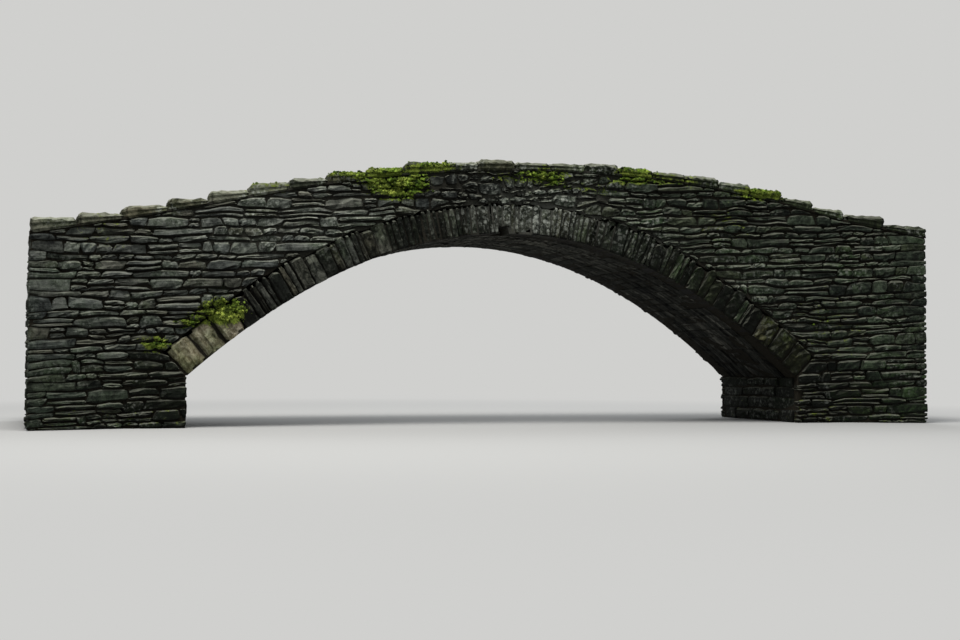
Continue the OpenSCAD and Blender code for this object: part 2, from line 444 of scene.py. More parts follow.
class Cells:
    """Room for n stones: left and right ends with their lean, two functions of s that give the
    lower and the upper edge of each, and how rough it is, from 0.3 for a squared corner stone to 1
    for plain rubble and more where the work is poor"""

    def __init__(self, s0, s1, lower, upper, lean0=0.0, lean1=0.0, rough=1.0):
        self.s0, self.s1 = np.asarray(s0, float), np.asarray(s1, float)
        self.lower, self.upper = lower, upper
        self.lean0 = np.broadcast_to(lean0, self.s0.shape)
        self.lean1 = np.broadcast_to(lean1, self.s0.shape)
        self.rough = np.broadcast_to(rough, self.s0.shape)

    def centres(self):
        """Middle of every cell, as s and t"""
        s = (self.s0 + self.s1) / 2
        return s, (self.lower(s[:, None]) + self.upper(s[:, None]))[:, 0] / 2


def flat_edge(level):
    """An edge at one level, or at one level for each cell, as a function of s"""
    return lambda s: level + 0 * s


# How far a stone's face may stand out, and how far its edge and its face may lie in
FURTHEST_OUT = 0.035
EDGE_IN = 0.046
FACE_IN = 0.034


def front_shares(rng, style, length, height, rough):
    """Shares u of the length and v of the height of its cell for every front point of every stone.
    Rows and columns are spaced unevenly between the rounded edges. The border is drawn in by a
    random wobble, its corners by a random chip, and its lower and upper edge by a random bow, the
    cube of the distance from the middle."""
    n, cols, rows = len(length), style.cols, style.rows

    def spaced(count, size):
        edge = np.minimum(style.edge * rng.uniform(0.7, 1.6, (n, 1)) / size[:, 0], 0.3)
        inner = edge + (1 - 2 * edge) * np.linspace(0, 1, count - 2)
        inner[:, 1:-1] += rng.uniform(-0.3, 0.3, (n, count - 4)) / count
        return np.concatenate([np.zeros((n, 1)), inner, np.ones((n, 1))], 1)

    u = np.repeat(spaced(cols, length)[:, None, :], rows, 1)
    v = np.repeat(spaced(rows, height)[:, :, None], cols, 2)
    wobble = np.abs(rng.normal(0, style.wobble, (4, n, rows, cols))) * rough
    chips = style.chip * rng.uniform(0.15, 1, (4, n, 1)) ** 2 * rough[:, :, 0]
    wobble[2] *= style.base
    chips[:2] *= style.base
    u[:, :, 0] += (wobble[0] / length)[:, :, 0]
    u[:, :, -1] -= (wobble[1] / length)[:, :, 0]
    v[:, 0, :] += (wobble[2] / height)[:, 0, :]
    v[:, -1, :] -= (wobble[3] / height)[:, 0, :]
    for chip, (row, col) in zip(chips, ((0, 0), (0, -1), (-1, 0), (-1, -1))):
        inward_u, inward_v = (1 if col == 0 else -1), (1 if row == 0 else -1)
        u[:, row, col] += inward_u * np.minimum(chip / length[:, :, 0], 0.25)[:, 0]
        v[:, row, col] += inward_v * np.minimum(0.7 * chip / height[:, :, 0], 0.25)[:, 0]
    bow = style.bow * rng.uniform(0, 1, (2, n, 1, 1)) ** 1.5 * rough / height
    bow[0] *= style.base
    ends = np.abs(2 * u - 1) ** 3
    return u, v + np.minimum(bow[0], 0.3) * ends * (1 - v) - np.minimum(bow[1], 0.3) * ends * v


def front_depths(rng, style, length, height, rough, u, v):
    """Depth of every front point, and 1 for those on the border. A stone is tilted, stands proud,
    is rough from point to point and pillowed by the square of v, and its border is rounded back."""
    dressed = np.minimum(rough, 1)
    tip = rng.normal(0, style.tilt, (2, len(u), 1, 1))
    d = tip[0] * (u - 0.5) * np.minimum(length, 0.5) + tip[1] * (v - 0.5) * height
    d = d - rng.normal(0, style.proud, (len(u), 1, 1)) * dressed
    d = d + rng.normal(0, style.relief, u.shape) * rough
    d = d + style.pillow * rough * ((2 * v - 1) ** 2 - 0.4)
    rim = np.ones(u.shape)
    rim[:, 1:-1, 1:-1] = 0
    d = d + rim * style.round * rng.uniform(0.4, 1.5, u.shape) * dressed
    return np.clip(d, -FURTHEST_OUT, np.where(rim > 0, EDGE_IN, FACE_IN)), rim


def shape_stones(rng, cells, style):
    """s, t and d of every point of every stone, its painted edge shade and dirt, whether it is bare to
    the weather, and the faces of one stone. The front fills its cell but for a gap all round; every
    loop behind it is its border, drawn towards the middle by the loop's inset."""
    n, cols, rows = len(cells.s0), style.cols, style.rows
    length = (cells.s1 - cells.s0)[:, None, None]
    middle = ((cells.s0 + cells.s1) / 2)[:, None]
    height = np.maximum(cells.upper(middle) - cells.lower(middle), 0.03)[:, :, None]
    rough = cells.rough[:, None, None]
    u, v = front_shares(rng, style, length, height, rough)
    left = cells.s0[:, None, None] + style.gap + cells.lean0[:, None, None] * (v - 0.5)
    right = cells.s1[:, None, None] - style.gap + cells.lean1[:, None, None] * (v - 0.5)
    s = (left + (right - left) * u).reshape(n, -1)
    low, high = cells.lower(s) + style.gap, cells.upper(s) - style.gap
    t = low + (high - low) * v.reshape(n, -1)
    d, rim = front_depths(rng, style, length, height, rough, u, v)

    border, faces = tablet(cols, rows, len(style.loops))
    centre_s, centre_t = s.mean(1, keepdims=True), t.mean(1, keepdims=True)
    half_s, half_t = np.ptp(s, 1)[:, None] / 2, np.ptp(t, 1)[:, None] / 2
    all_s, all_t, all_d = [s], [t], [d.reshape(n, -1)]
    for inset, depth in style.loops:
        drawn = inset + rng.uniform(-0.003, 0.003, (n, len(border)))
        all_s.append(s[:, border] + (centre_s - s[:, border]) * np.minimum(drawn / half_s, 0.6))
        all_t.append(t[:, border] + (centre_t - t[:, border]) * np.minimum(drawn / half_t, 0.6))
        all_d.append(depth + rng.uniform(-0.006, 0.006, (n, len(border))))
    s, t, d = (np.concatenate(a, 1) for a in (all_s, all_t, all_d))

    rim[:, 0, 1:-1], rim[:, -1, 1:-1] = style.rims
    row, col = np.divmod(border, cols)
    corner = (row % (rows - 1) == 0) & (col % (cols - 1) == 0)
    behind = np.tile(np.where(corner, 1.0, 0.5), len(style.loops))
    rim = np.concatenate([rim.reshape(n, -1), np.tile(behind, (n, 1))], 1)
    bare = np.tile(np.arange(s.shape[1]) < rows * cols, (n, 1))
    return s, t, d, rim, bare, faces


# Weathering and painted shadow, by its places on the bridge

# Each patch: X, Y, Z of its middle, its reach along X, Y and Z, and its strength
MOSS_PATCHES = [
    (-1.9, -1.35, 3.68, 0.48, 0.35, 0.24, 1.7),
    (-1.25, -1.35, 3.96, 0.40, 0.50, 0.12, 0.9),
    (-2.7, -1.35, 3.78, 0.5, 0.50, 0.10, 0.75),
    (0.55, -1.35, 3.92, 0.35, 0.50, 0.16, 1.15),
    (-0.1, -1.35, 3.85, 0.45, 0.30, 0.16, 0.65),
    (1.95, -1.35, 3.98, 0.50, 0.50, 0.16, 1.0),
    (1.3, -1.35, 3.72, 0.6, 0.30, 0.12, 0.6),
    (2.9, -1.35, 3.94, 0.6, 0.50, 0.12, 0.6),
    (4.35, -1.35, 3.80, 0.50, 0.60, 0.10, 1.6),
    (3.6, -1.35, 3.3, 0.8, 0.30, 0.4, 0.45),
    (-3.9, -1.35, 3.55, 0.8, 0.50, 0.10, 0.6),
    (-5.45, -1.35, 1.2, 0.3, 0.40, 0.16, 0.9),
    (-4.5, -1.35, 1.68, 0.35, 0.50, 0.20, 1.6),
    (-5.0, -1.35, 1.52, 0.2, 0.40, 0.10, 0.9),
    (-6.3, -1.4, 2.8, 0.9, 0.30, 0.5, 0.45),
    (5.6, -1.4, 1.6, 0.9, 0.30, 0.9, 0.45),
    (-2.9, 1.35, 3.6, 0.8, 0.50, 0.22, 1.0),
    (1.3, 1.35, 3.95, 0.7, 0.50, 0.18, 1.1),
    (3.9, 1.35, 3.6, 0.6, 0.50, 0.30, 0.9),
    (5.2, 1.35, 1.4, 0.8, 0.30, 0.5, 0.8),
    (-5.6, 1.4, 2.2, 0.8, 0.30, 0.7, 0.6),
]
# Soot and painted shadow in dark patches
DARK_PATCHES = [
    (-4.25, -1.35, 1.8, 0.35, 0.4, 0.3, 0.8),
    (-3.2, -1.35, 2.3, 0.9, 0.3, 0.5, 0.35),
    (4.6, -1.35, 1.2, 0.9, 0.4, 0.7, 0.9),
    (-0.8, -1.35, 3.7, 0.6, 0.30, 0.28, 1.7),
    (-1.2, -1.35, 3.0, 0.7, 0.30, 0.3, 0.8),
    (0.5, -1.35, 3.68, 1.4, 0.30, 0.22, 0.8),
    (4.4, -1.35, 3.55, 0.7, 0.30, 0.22, 0.6),
    (0.5, 1.35, 3.7, 1.8, 0.30, 0.3, 0.5),
]
LICHEN_PATCHES = [
    (0.35, -1.35, 3.25, 1.1, 0.15, 0.32, 1.2),
    (0.4, -1.35, 3.76, 1.5, 0.15, 0.26, 0.7),
    (2.4, -1.35, 2.9, 0.9, 0.15, 0.35, 0.5),
    (4.6, -1.35, 2.4, 0.7, 0.25, 0.5, 0.4),
    (-3.6, -1.35, 3.0, 1.4, 0.30, 0.5, 0.45),
    (0.6, 1.35, 3.2, 1.6, 0.15, 0.35, 0.9),
]


def patches_at(points, patches):
    """Sum of soft patches: each has its strength in its middle and falls off by a bell, the
    exponential of minus the square of the distance in reaches"""
    total = np.zeros(points.shape[:-1])
    for x, y, z, reach_x, reach_y, reach_z, strength in patches:
        away = (points - [x, y, z]) / [reach_x, reach_y, reach_z]
        total += strength * np.exp(-(away**2).sum(-1))
    return total


def weather(points):
    """Moss in its patches and, by an S over the height, at the foot of the walls; damp, with painted
    shadow, by one S towards the right and another towards the foot; soot with painted shadow, and
    lichen, in their patches"""
    x, z = points[..., 0], points[..., 2]
    return {
        "moss": patches_at(points, MOSS_PATCHES) + 0.3 * smooth(z, 1.0, 0.1),
        # Damp, with painted shadow: darker towards the right and towards the foot
        "damp": 0.6 * smooth(x, -1.5, 3.0) + 0.5 * smooth(z, 1.5, 0.3),
        "soot": patches_at(points, DARK_PATCHES),
        "lichen": patches_at(points, LICHEN_PATCHES),
    }


def set_stones(rng, names, cells, style, place, upright=False):
    """Shapes the stones of the cells and gives each to the part that names holds for it. Their
    bedding runs along s, or along t for stones that are set upright."""
    s, t, d, rim, bare, faces = shape_stones(rng, cells, style)
    points = place(s, t, d)
    n, count = s.shape
    tone = np.repeat(rng.uniform(0, 1, n)[:, None], count, 1)
    kind = np.repeat(rng.uniform(0, 1, n)[:, None], count, 1)
    values = {"tone": tone, "kind": kind, "bed": s if upright else t, "rim": rim, "bare": bare}
    names = np.broadcast_to(names, n)
    for name in sorted(set(names)):
        mine = names == name
        own = points[mine].reshape(-1, 3)
        stones = repeated(faces, int(mine.sum()), count)
        given = {key: value[mine].ravel() for key, value in values.items()}
        parts[name].add(own, stones, STONES, **given, **weather(own))


# Courses of rubble


class Beds:
    """Beds of a wall, shared by the stones over and under them. Bed k lies at its own level, plus a
    tilt that all share and five waves of its own, the quicker ones lower. Over the crown the waves
    are higher by the share poor, by a bell over s."""

    PACES = (0.9, 2.3, 5.3, 9.7, 15.1)
    FADES = (1, 1, 0.9, 0.7, 0.5)
    POOR_REACH = 1.7

    def __init__(self, rng, bottom, top, thin, thick, tilt=0.0, wave=0.008, poor=0.0):
        count = int((top - bottom) / thin) + 2
        self.level = bottom + np.concatenate([[0], np.cumsum(rng.uniform(thin, thick, count))])
        self.level = self.level[: np.searchsorted(self.level, top) + 1]
        self.tilt = tilt
        self.poor = poor
        size = (len(self.PACES), len(self.level))
        self.wave = rng.normal(0, wave, size) * np.array(self.FADES)[:, None]
        self.turn = rng.uniform(0, 2 * math.pi, size)

    def height(self, k, s):
        """Height of bed k at s"""
        total = 0.0
        for pace, wave, turn in zip(self.PACES, self.wave, self.turn):
            total = total + wave[k] * np.sin(pace * s + turn[k])
        rise = 1 + self.poor * np.exp(-((s / self.POOR_REACH) ** 2))
        return self.level[k] + self.tilt * s + total * rise

    def between(self, k, share, s):
        """Height at a share of the way from bed k to the next"""
        low = self.height(k, s)
        return low + share * (self.height(k + 1, s) - low)


def break_joints(rng, start, end, short, long, below, clear):
    """Upright joints of one course, each kept clear of the joints of the last one. The lengths are
    drawn from short to long, most of them near 1.4 times the short one."""
    count = int((end - start) / short) + 2
    cuts = start + np.cumsum(rng.triangular(short, short * 1.4, long, count))
    cuts = cuts[cuts < end - short * 0.8]
    if len(below) and len(cuts):
        nearest = below[np.abs(cuts[:, None] - below[None, :]).argmin(1)]
        gap = cuts - nearest
        cuts = np.where(np.abs(gap) < clear, nearest + np.where(gap < 0, -clear, clear), cuts)
    return np.concatenate([[start], np.sort(cuts), [end]])


# In metres: the thickness over which a stone may be split, the length over which it may be halved,
# the shortest room for a stone, and the least thickness and length that the limits may leave of it
SPLIT_OVER = 0.125
HALVED_OVER = 0.3
SLIVER = 0.05
THINNEST = 0.035
SHORTEST = 0.07
PROBES = 13


def draw_cells(rng, beds, start, end, short, long, split, halved, lean):
    """Cells of coursed rubble as they are drawn, before any limit cuts them. A share halved of the
    long stones near the middle, by a bell over s, is cut in two, and a share split of the thicker
    ones is split into two thin ones. Gives the course of each, its ends and their leans, and its
    lower and upper edge as shares of the way to the next bed."""
    cells, below = [], np.array([])
    for k in range(len(beds.level) - 1):
        cuts = break_joints(rng, start, end, short, long, below, clear=0.08)
        middle = (cuts[1:] + cuts[:-1]) / 2
        chance = halved * np.exp(-((middle / 1.8) ** 2)) * (np.diff(cuts) > HALVED_OVER)
        extra = middle[rng.random(len(middle)) < chance]
        cuts = np.sort(np.concatenate([cuts, extra + rng.uniform(-0.06, 0.06, len(extra))]))
        below = cuts[1:-1]
        tall = beds.level[k + 1] - beds.level[k]
        for s0, s1 in zip(cuts, cuts[1:]):
            if s1 - s0 < SLIVER:
                continue
            leans = rng.uniform(-lean, lean, 2)
            halves = tall > SPLIT_OVER and rng.random() < split
            shares = (0, rng.uniform(0.35, 0.65), 1) if halves else (0, 1)
            cells += [(k, s0, s1, *leans, low, high) for low, high in zip(shares, shares[1:])]
    return [np.array(column) for column in zip(*cells)]


def lay_courses(rng, beds, start, end, short, long, limits, split=0.25, halved=0.0, lean=0.03):
    """Cells of coursed rubble between start and end. limits(k, s) gives the lowest and the highest t
    that stones of course k may fill. A cell that they cut is shortened to its longest run of probed
    places where it is thick enough, and each end is then settled by halving steps."""
    drawn = draw_cells(rng, beds, start, end, short, long, split, halved, lean)
    k, s0, s1, lean0, lean1, low_share, high_share = drawn

    def edges(rows):
        """Lower and upper edge of the cells in rows, each as a function of s"""
        course, low, high = (column[rows][:, None] for column in (k, low_share, high_share))
        return (
            lambda s: np.maximum(beds.between(course, low, s), limits(course, s)[0]),
            lambda s: np.minimum(beds.between(course, high, s), limits(course, s)[1]),
        )

    lower, upper = edges(np.arange(len(k)))
    probe = s0[:, None] + (s1 - s0)[:, None] * np.linspace(0, 1, PROBES)
    enough = upper(probe) - lower(probe) > THINNEST
    past0, past1 = s0.copy(), s1.copy()
    keep = []
    for row in range(len(k)):
        inside = np.flatnonzero(enough[row])
        if not len(inside):
            continue
        run = max(np.split(inside, np.flatnonzero(np.diff(inside) > 1) + 1), key=len)
        before, after = max(run[0] - 1, 0), min(run[-1] + 1, PROBES - 1)
        past0[row], s0[row], s1[row], past1[row] = probe[row, [before, run[0], run[-1], after]]
        if s1[row] - s0[row] > SHORTEST:
            keep.append(row)
    lower, upper = edges(keep)

    def fits(s):
        return (upper(s[:, None]) - lower(s[:, None]))[:, 0] > THINNEST

    def settle(inside, outside):
        """Moves from inside, where the cell fits, towards outside as far as it still fits"""
        for _ in range(5):
            middle = (inside + outside) / 2
            good = fits(middle)
            inside, outside = np.where(good, middle, inside), np.where(good, outside, middle)
        return inside

    s0, s1 = settle(s0[keep], past0[keep]), settle(s1[keep], past1[keep])
    lean0 = np.where(fits(s0 - lean) & (s0 > start), lean0[keep], 0)
    lean1 = np.where(fits(s1 + lean) & (s1 < end), lean1[keep], 0)
    rough = np.where((s0 == start) | (s1 == end), 0.3, 1.0)
    return Cells(s0, s1, lower, upper, lean0, lean1, rough)


# Walls, ring, vault, coping and road

# A course of the outer wall that starts this far under the shelf ends on the skewback, and its
# stones keep this far under the slope; the inner wall reaches this far down behind the road
UNDER_SHELF = 0.06
UNDER_SKEWBACK = 0.01
BEHIND_ROAD = 0.04


def lay_outer_wall(side_name, side):
    """Outer face of one side, from the ground to the coping: wings, shoulders, spandrels and parapet
    in one run of courses, cut by the back of the ring and by the slope of the skewbacks. The work
    is roughest round the crown, by a bell over x."""
    rng = dice(f"{side_name} wall")
    face = outer_face(side)
    beds = Beds(rng, -0.35, 4.4, 0.082, 0.195, tilt=-0.04 * side, wave=0.011, poor=1.6)
    back = ring_back_line(side)

    def limits(k, s):
        """Beyond the arch from the ground to the coping. Over it, courses that start under the shelf
        end on the slope of the skewbacks, and the others start on the back of the ring"""
        x = face.x(s)
        away = np.abs(x)
        within = away < SKEW_X
        low_course = beds.height(k, np.sign(s) * SKEW_X) < SHELF_Z - UNDER_SHELF
        slope = skewback_z(x) - UNDER_SKEWBACK
        high = np.where(within & low_course, slope, coping_bed_z(x) - SLIT)
        foot = np.where(away < HALF_SPAN, high, 0)
        return np.where(within, np.where(low_course, foot, np.interp(x, *back)), 0), high

    cells = lay_courses(
        rng, beds, -END_S, END_S, 0.16, 0.85, limits, split=0.35, halved=0.9, lean=0.08
    )
    s, t = cells.centres()
    x = face.x(s)
    cells.rough = cells.rough + 0.9 * np.exp(-(((x - 0.3) / 1.5) ** 2))
    words = np.where(t > road_z(x), "parapet", np.where(t < SHELF_Z, "abutment", "spandrel"))
    names = np.array([node_over(side_name, at, word) for at, word in zip(x, words)])
    set_stones(rng, names, cells, RUBBLE, face.place)


def lay_inner_wall(side_name, side):
    """Inner face of one parapet and its wings, in courses that follow the road"""
    rng = dice(f"{side_name} inner wall")
    face = inner_face(side, STONE_D)
    beds = Beds(rng, -0.06, PARAPET_H + 0.1, 0.09, 0.16)

    def limits(k, s):
        return -BEHIND_ROAD, PARAPET_H - SLIT

    def place(s, t, d):
        return face.place(s, t + road_z(face.x(s)), d)

    cells = lay_courses(rng, beds, face.s[0], face.s[-1], 0.2, 0.7, limits)
    s, _ = cells.centres()
    names = np.array([node_over(side_name, x, "parapet") for x in face.x(s)])
    set_stones(rng, names, cells, RUBBLE, place)


def lay_end_wall(end_name, end):
    """End of the bridge across the fill and the two wings, between the outer corner stones"""
    rng = dice(f"{end_name} end wall")
    half = wing_y(0) - STONE_D / math.cos(FLARE)
    face = flat_face(end * HALF_LEN, end, half)
    beds = Beds(rng, -0.05, 3.1, 0.09, 0.19, tilt=0.01)
    road = float(road_z(end * HALF_LEN))
    between = wing_y(WALL)

    def limits(k, s):
        return 0, np.where(np.abs(s) < between, road - GRAVEL, road + PARAPET_H - SLIT)

    cells = lay_courses(rng, beds, -half, half, 0.2, 0.7, limits)
    s, t = cells.centres()
    y = s * end
    names = np.where(
        np.abs(y) > between,
        np.where(y < 0, f"downstream_{end_name}_wing", f"upstream_{end_name}_wing"),
        np.where(t < SHELF_Z, f"{end_name}_abutment", f"{end_name}_fill"),
    )
    set_stones(rng, names, cells, RUBBLE, face.place)


def lay_abutment_front(end_name, end):
    """Face of the abutment under the springing, of bigger squared blocks"""
    rng = dice(f"{end_name} front")
    half = HALF_W - STONE_D
    face = flat_face(end * HALF_SPAN, -end, half)
    beds = Beds(rng, 0.0, SPRINGING_Z, 0.2, 0.28, wave=0.005)
    beds.level *= SPRINGING_Z / beds.level[-1]

    def limits(k, s):
        return 0, SPRINGING_Z

    cells = lay_courses(rng, beds, -half, half, 0.35, 0.8, limits, split=0.0)
    set_stones(rng, f"{end_name}_abutment", cells, RUBBLE, face.place)


RING_LOOPS = ((0.0, 0.10), (0.0, 0.24), (0.002, WALL))
FACE_RING = Style(
    cols=5, rows=8, gap=0.003, pillow=0.0, edge=0.024, round=0.026, chip=0.08, wobble=0.006,
    bow=0.11, base=0.15, rims=(0.4, 1.0), tilt=0.10, loops=RING_LOOPS,
)
SPRINGER = Style(
    cols=7, rows=7, gap=0.007, pillow=0.0, relief=0.014, edge=0.04, round=0.03, chip=0.10,
    wobble=0.010, bow=0.0, base=0.4, rims=(0.4, 1.0), tilt=0.05, loops=RING_LOOPS,
)

# The ring stones that have lost their lower end, downstream: their place, its reach along the arch,
# and the length that is gone; and the hollow that is left in the mortar behind them
LOST_X, LOST_REACH, LOST_LENGTH = -0.2, 0.04, 0.1
HOLLOW_REACH, HOLLOW_DEPTH = 0.09, 0.12


def ring_joints(rng):
    """Stations of the joints as laid, and the ring stone that each stretch belongs to: the plain
    joints moved a little between the springers, and some of the stones split into two thin slabs"""
    inner = slice(SPRINGERS + 1, RING_STONES - SPRINGERS)
    joints = RING_X.copy()
    joints[inner] += rng.uniform(-0.2, 0.2, VOUSSOIRS - 1) * (SPAN - 2 * SPRINGER_RUN) / VOUSSOIRS
    split = rng.random(RING_STONES) < 0.45
    split[:SPRINGERS] = split[-SPRINGERS:] = False
    share = rng.uniform(0.38, 0.62, RING_STONES)
    middle = joints[:-1] + share * np.diff(joints)
    owner = np.sort(np.concatenate([np.arange(RING_STONES), np.flatnonzero(split)]))
    return np.sort(np.concatenate([joints, middle[split]])), owner


def lay_ring(side_name, side):
    """Face ring: stones on radial joints, from the soffit to their own uneven backs"""
    rng = dice(f"{side_name} ring")
    joints, owner = ring_joints(rng)
    depth = ring_stone_depth(owner, side) + rng.uniform(-0.012, 0.012, len(owner))
    names = np.repeat([f"{side_name}_{word}" for word in RING_WORDS], np.diff(STRETCH_FROM))

    def place(s, t, d):
        return place_arch(-side * s, t, side * (HALF_W - d))

    big = (owner < SPRINGERS) | (owner >= RING_STONES - SPRINGERS)
    for style, mine in ((SPRINGER, big), (FACE_RING, ~big)):
        a, b = joints[:-1][mine], joints[1:][mine]
        s0, s1 = (a, b) if side == DOWNSTREAM else (-b, -a)
        lost = (a < LOST_X + LOST_REACH) & (b > LOST_X - LOST_REACH) & (side == DOWNSTREAM)
        lower, upper = flat_edge(LOST_LENGTH * lost[:, None]), flat_edge(depth[mine][:, None])
        cells = Cells(s0, s1, lower, upper)
        set_stones(rng, names[owner[mine]], cells, style, place, upright=True)
    for first, last in zip(STRETCH_FROM, STRETCH_FROM[1:]):
        x = mortar_x(first, last)
        hollow = (np.abs(x - LOST_X) < HOLLOW_REACH) & (side == DOWNSTREAM)
        low = np.where(hollow, HOLLOW_DEPTH, OVER_SOFFIT)
        skin = CROWN_MORTAR_D if first == CROWN_FROM else MORTAR_D
        near, far = sorted([side * (HALF_W - skin), side * INNER_W])
        at = partial(place_arch, x)
        fill_between(parts[names[first]], at, near, far, low, RING_DEPTH - MORTAR_D)


VAULT = Style(
    cols=6, rows=6, gap=0.001, proud=0.004, pillow=0.0, relief=0.005, edge=0.02, round=0.002,
    chip=0.01, wobble=0.001, bow=0.0, tilt=0.01,
)


def lay_barrel(name, first, last):
    """Vault between the rings: one row of stones to each ring joint, seen from below"""
    rng = dice(name)
    s0, s1, low, high, below = [], [], [], [], np.array([])
    for i in range(first, last):
        cuts = break_joints(rng, -INNER_W, INNER_W, 0.3, 0.8, below, clear=0.1)
        below = cuts[1:-1]
        s0 += [RING_X[i]] * (len(cuts) - 1)
        s1 += [RING_X[i + 1]] * (len(cuts) - 1)
        low += list(cuts[:-1])
        high += list(cuts[1:])
    cells = Cells(s0, s1, *(flat_edge(np.array(edge)[:, None]) for edge in (low, high)))
    set_stones(rng, name, cells, VAULT, lambda s, t, d: place_arch(s, d, -t))
    at = partial(place_arch, mortar_x(first, last))
    fill_between(parts[name], at, -INNER_W, INNER_W, OVER_SOFFIT, RING_DEPTH)


# The depths of a slab's loops are shares of its thickness; smaller values of d are metres
SLAB_SHARES_FROM = 0.1
SLAB = Style(
    cols=10, rows=7, gap=0.007, proud=0.004, pillow=0.012, relief=0.007, edge=0.045, round=0.04,
    chip=0.12, wobble=0.010, bow=0.0, rims=(0.4, 0.4), tilt=0.015,
    loops=((-0.010, 0.38), (0.004, 0.58), (-0.002, 0.8), (0.018, 1.0)),
)

# Mortar bed under the coping: its thickness, and how far it keeps behind the faces of the wall
BED_T = 0.03
BED_INSET = 0.012


def lay_coping(side_name, side):
    """Coping: one rough slab between neighbouring stations, its d running down from the slab's own
    top, which is straight from one end to the other, to the bed"""
    rng = dice(f"{side_name} coping")
    face = outer_face(side)
    left_z, right_z = slab_tops()
    a, b = along(SLAB_X[:-1]), along(SLAB_X[1:])
    middle = (SLAB_X[:-1] + SLAB_X[1:]) / 2
    names = np.array([node_over(side_name, x, "coping", "wing_coping") for x in middle])
    s0, s1 = (a, b) if side == DOWNSTREAM else (-b, -a)

    def place(s, t, d):
        x, y = face.plan(s, t - COPING_LIP)
        at = -side * s
        share = (at - a[:, None]) / (b - a)[:, None]
        top = left_z[:, None] + share * (right_z - left_z)[:, None]
        thick = top - coping_bed_z(face.x(s))
        down = np.where(d < SLAB_SHARES_FROM, d, d * thick)
        return points_at(x, y, top - down)

    cells = Cells(s0, s1, flat_edge(0), flat_edge(WALL + 2 * COPING_LIP))
    set_stones(rng, names, cells, SLAB, place)
    for name in sorted(set(names)):
        mine = names == name
        run = np.unique(np.concatenate([s0[mine], s1[mine]]))
        under = coping_bed_z(face.x(run))
        at = partial(face.place, run)
        fill_between(parts[name], at, BED_INSET, WALL - BED_INSET, under, under + BED_T)


def fill_walls(side_name, side):
    """Mortar and hearting behind the faces of spandrels, parapets and wings. Over the last of a wing
    the mortar comes forward to the corner."""
    face = outer_face(side)
    near, far = MORTAR_D, WALL - MORTAR_D
    for end_name, end in ENDS.items():
        node = f"{side_name}_{end_name}"
        s = np.sort(-side * end * np.linspace(0, WING_X, 61))
        x = face.x(s)
        at = partial(face.place, s)
        road = road_z(x)
        back = over_arch(x, ring_back_line(side))
        fill_between(parts[f"{node}_spandrel"], at, near, WALL, back, road)
        fill_between(parts[f"{node}_parapet"], at, near, far, road, coping_bed_z(x))
        s = np.sort(-side * end * np.linspace(WING_X, END_S - MORTAR_D / 2, 9))
        skin = np.interp(np.abs(s), [END_S - 0.25, END_S - 0.05], [MORTAR_D, CORNER_MORTAR_D])
        at = partial(face.place, s)
        fill_between(parts[f"{node}_wing"], at, skin, far, 0, coping_bed_z(face.x(s)))


def fill_core(end_name, end):
    """Abutment and filling between the walls of one end"""
    corner_x = HALF_SPAN + 0.2
    plan = np.array([
        (HALF_SPAN + CORNER_MORTAR_D, HALF_W - CORNER_MORTAR_D), (corner_x, HALF_W - MORTAR_D),
        (WING_X, HALF_W - MORTAR_D), (turn_x(WALL), INNER_W), (HALF_LEN, wing_y(WALL)),
    ])
    back = HALF_LEN - MORTAR_D

    def fill(word, x, plan, low, high):
        wide = np.interp(np.abs(x), *plan.T)
        part = parts[f"{end_name}_{word}"]
        fill_between(part, lambda z, y: points_at(x, y, z), -wide, wide, low, high)

    x = np.sort(end * np.concatenate([
        plan[:1, 0], np.linspace(corner_x, WING_X, 5), np.linspace(turn_x(WALL), back, 4),
    ]))
    fill("abutment", x, plan, 0, np.minimum(skewback_z(x), SHELF_Z))
    x = np.sort(end * np.linspace(0, back, 61))
    arch = arch_point(np.linspace(-HALF_SPAN, HALF_SPAN, 121), RING_DEPTH)
    fill("fill", x, plan[-2:], over_arch(x, arch), road_z(x) - GRAVEL)


def lay_road():
    """Gravel running surface: a cross-section of 25 points carried along the road. It rises to its
    edges by the cube of the share of the way to them, sinks by a bell into a shallow path along the
    middle, and is uneven by two waves and a little chance. Moss and dirt lie along its edges, by
    the sixth power of that share."""
    rng = dice("road")
    x = np.linspace(-HALF_LEN, HALF_LEN, 241)
    share = np.linspace(-1, 1, 25)
    wide = np.interp(np.abs(x), [0, turn_x(WALL), HALF_LEN], [INNER_W, INNER_W, wing_y(WALL)])
    y = wide[:, None] * share[None, :]
    long = x[:, None]
    rise = 0.012 * (np.abs(share) ** 3) - 0.014 * np.exp(-((share / 0.38) ** 2))
    wave = 0.006 * np.sin(1.7 * long + 2.3 * y) + 0.004 * np.sin(4.1 * long - 3.7 * y + 1.0)
    z = road_z(long) + rise + wave + rng.normal(0, 0.004, y.shape) - 0.004
    left, right = (points_at(x, side * wide, road_z(x) - GRAVEL)[:, None] for side in SIDES.values())
    rings = np.concatenate([left, points_at(long, y, z), right], 1)
    edge = np.tile([0.6, *np.abs(share), 0.6], len(x))
    worn = np.exp(-((edge / 0.4) ** 2))
    tube(parts["roadway"], rings, STONES, rim=edge**6, moss=0.9 * edge**6, kind=worn, bare=1.0)


# Materials


def tint(red, green, blue):
    """A colour given in display values from 0 to 255, as linear light"""
    value = np.array([red, green, blue]) / 255
    linear = np.where(value <= 0.04045, value / 12.92, ((value + 0.055) / 1.055) ** 2.4)
    return (*linear.tolist(), 1.0)


